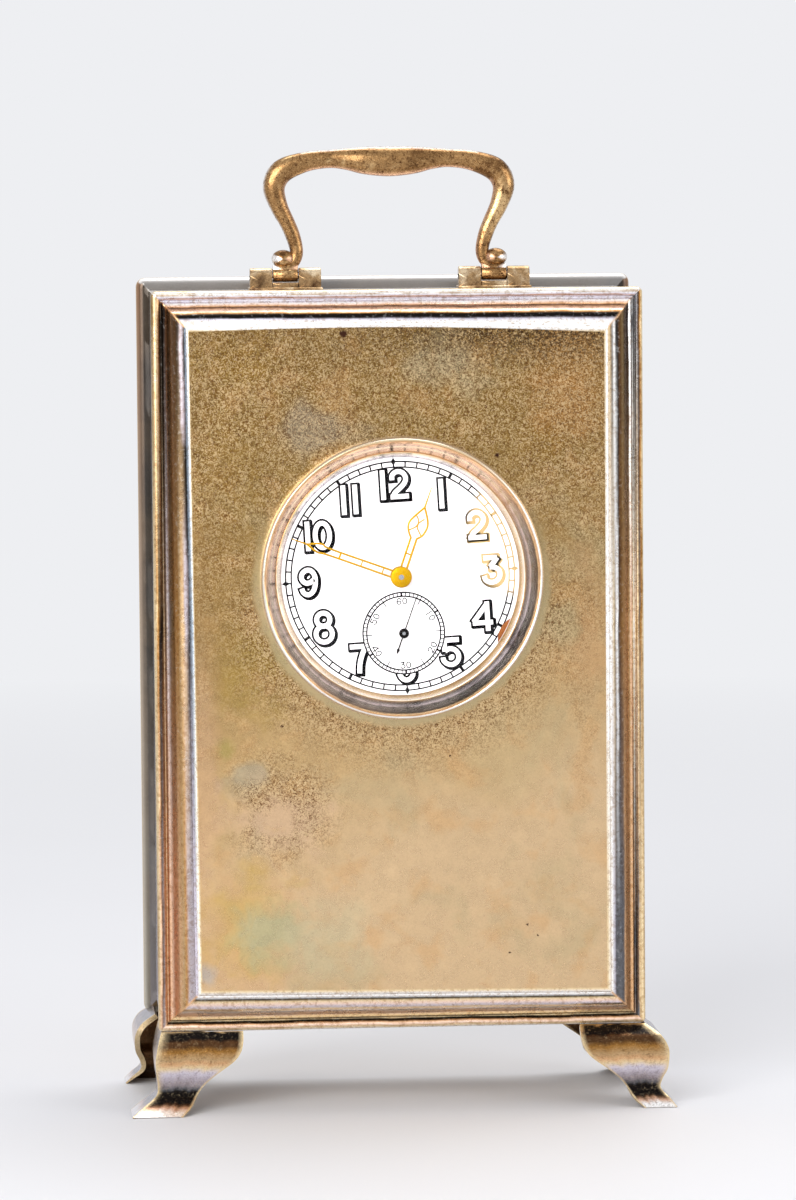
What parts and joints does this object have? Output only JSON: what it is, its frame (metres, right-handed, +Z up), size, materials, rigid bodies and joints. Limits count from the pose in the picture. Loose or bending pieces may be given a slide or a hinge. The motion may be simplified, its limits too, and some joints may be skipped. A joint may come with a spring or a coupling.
{
  "type": "table clock",
  "caption": "Free-standing table clock: moulded rectangular metal case on bracket feet, round glazed dial, folding top handle, hinged back door, key-wound lever movement.",
  "frame": {"origin": "on the table under the middle of the clock, at the feet", "axes": "+X to the right seen from the front, +Y to the back, +Z up; the dial faces -Y"},
  "size_m": [0.093, 0.045, 0.1639],
  "materials": {
    "panel_silver": "warm tarnished silver, fine brown grain",
    "case_silver": "tarnished silver",
    "handle_silver": "golden-brown tarnished silver",
    "foot_silver": "tarnished silver, darker in the hollows",
    "bezel_silver": "polished silver",
    "glass": "clear domed glass",
    "enamel": "white enamel with black numerals",
    "gilt": "gilt",
    "blued_steel": "blued, nearly black",
    "brass": "gilt brass, fine matt",
    "steel": "polished steel",
    "ruby": "ruby"
  },
  "bodies": {
    "case": {"case_front": "panel_silver", "case_body": "case_silver", "foot_front_left": "foot_silver", "foot_front_right": "foot_silver", "foot_rear_left": "foot_silver", "foot_rear_right": "foot_silver", "bezel": "bezel_silver", "crystal": "glass", "dial": "enamel", "movement_ring": "brass", "main_plate": "brass", "back_plate": "brass", "plate_pillars": "brass", "plate_screws": "steel", "movement_clamps": "brass", "clamp_screws": "steel", "balance_cock": "brass", "cap_jewel": "ruby", "cock_screw": "steel", "click_spring": "steel", "click_screw": "steel", "door_hinge_knuckles": "case_silver", "door_hinge_pins": "steel", "handle_lug_left": "handle_silver", "handle_lug_right": "handle_silver", "lug_pins": "steel"},
    "handle_bow": {"handle": "handle_silver"},
    "door": {"back_door": "case_silver", "door_pull": "case_silver"},
    "minute_group": {"set_arbor": "steel", "set_knob": "brass", "cannon_pinion": "steel", "minute_hand": "gilt"},
    "hour_group": {"hour_wheel": "brass", "hour_hand": "gilt"},
    "minute_gear": {"minute_wheel": "brass"},
    "seconds_group": {"fourth_pinion": "steel", "fourth_wheel": "brass", "second_hand": "blued_steel"},
    "third_group": {"third_pinion": "steel", "third_wheel": "brass"},
    "centre_group": {"centre_pinion": "steel", "centre_wheel": "brass"},
    "barrel_group": {"barrel": "brass", "barrel_cover": "brass", "mainspring": "blued_steel"},
    "escape_group": {"escape_pinion": "steel", "escape_wheel": "steel"},
    "lever": {"pallet_fork": "steel", "pallet_stones": "ruby", "pallet_arbor": "steel"},
    "balance": {"balance_wheel": "brass", "balance_staff": "steel", "balance_roller": "steel", "hairspring": "blued_steel"},
    "index": {"regulator": "steel"},
    "winding": {"barrel_arbor": "steel", "ratchet_wheel": "steel", "winding_key": "steel"},
    "pawl": {"click": "steel"}
  },
  "joints": [
    {"name": "handle_fold", "type": "hinge", "parent": "case", "child": "handle_bow", "pos_m": [0, 0.00195, 0.14202], "axis": [1, 0, 0], "range_deg": [-85, 85]},
    {"name": "door_swing", "type": "hinge", "parent": "case", "child": "door", "pos_m": [0.0373, 0.02027, 0.0769], "axis": [0, 0, -1], "range_deg": [0, 110]},
    {"name": "minutes", "type": "hinge", "parent": "case", "child": "minute_group", "pos_m": [0, 0, 0.0914], "axis": [0, 1, 0], "continuous": true},
    {"name": "hours", "type": "hinge", "parent": "case", "child": "hour_group", "pos_m": [0, 0, 0.0914], "axis": [0, 1, 0], "continuous": true},
    {"name": "minute_gearing", "type": "hinge", "parent": "case", "child": "minute_gear", "pos_m": [-0.00416, 0, 0.0938], "axis": [0, 1, 0], "continuous": true},
    {"name": "seconds", "type": "hinge", "parent": "case", "child": "seconds_group", "pos_m": [0.00051, 0, 0.08171], "axis": [0, 1, 0], "continuous": true},
    {"name": "third_turn", "type": "hinge", "parent": "case", "child": "third_group", "pos_m": [0.00579, 0, 0.086], "axis": [0, 1, 0], "continuous": true},
    {"name": "centre_turn", "type": "hinge", "parent": "case", "child": "centre_group", "pos_m": [0, 0, 0.0914], "axis": [0, 1, 0], "continuous": true},
    {"name": "barrel_turn", "type": "hinge", "parent": "case", "child": "barrel_group", "pos_m": [0.00265, 0, 0.10131], "axis": [0, 1, 0], "continuous": true},
    {"name": "escape_turn", "type": "hinge", "parent": "case", "child": "escape_group", "pos_m": [-0.00534, 0, 0.08274], "axis": [0, 1, 0], "continuous": true},
    {"name": "lever_swing", "type": "hinge", "parent": "case", "child": "lever", "pos_m": [-0.0081, 0, 0.0855], "axis": [0, 1, 0], "range_deg": [-5, 5]},
    {"name": "balance_swing", "type": "hinge", "parent": "case", "child": "balance", "pos_m": [-0.013, 0, 0.0904], "axis": [0, 1, 0], "range_deg": [-270, 270], "stiffness_Nm_per_rad": 0.0000005},
    {"name": "index_turn", "type": "hinge", "parent": "case", "child": "index", "pos_m": [-0.013, 0, 0.0904], "axis": [0, 1, 0], "range_deg": [-25, 25]},
    {"name": "winding_turn", "type": "hinge", "parent": "case", "child": "winding", "pos_m": [0.00265, 0, 0.10131], "axis": [0, -1, 0], "range_deg": [0, 1800]},
    {"name": "click_lift", "type": "hinge", "parent": "case", "child": "pawl", "pos_m": [-0.00502, 0, 0.10249], "axis": [0, -1, 0], "range_deg": [0, 12]}
  ],
  "couplings": [
    {"joint": "hours", "follows": "minutes", "ratio": 0.083333},
    {"joint": "minute_gearing", "follows": "minutes", "ratio": -0.33333},
    {"joint": "third_turn", "follows": "seconds", "ratio": -0.13333},
    {"joint": "centre_turn", "follows": "seconds", "ratio": 0.016667},
    {"joint": "barrel_turn", "follows": "seconds", "ratio": -0.0020833},
    {"joint": "escape_turn", "follows": "seconds", "ratio": -10}
  ]
}
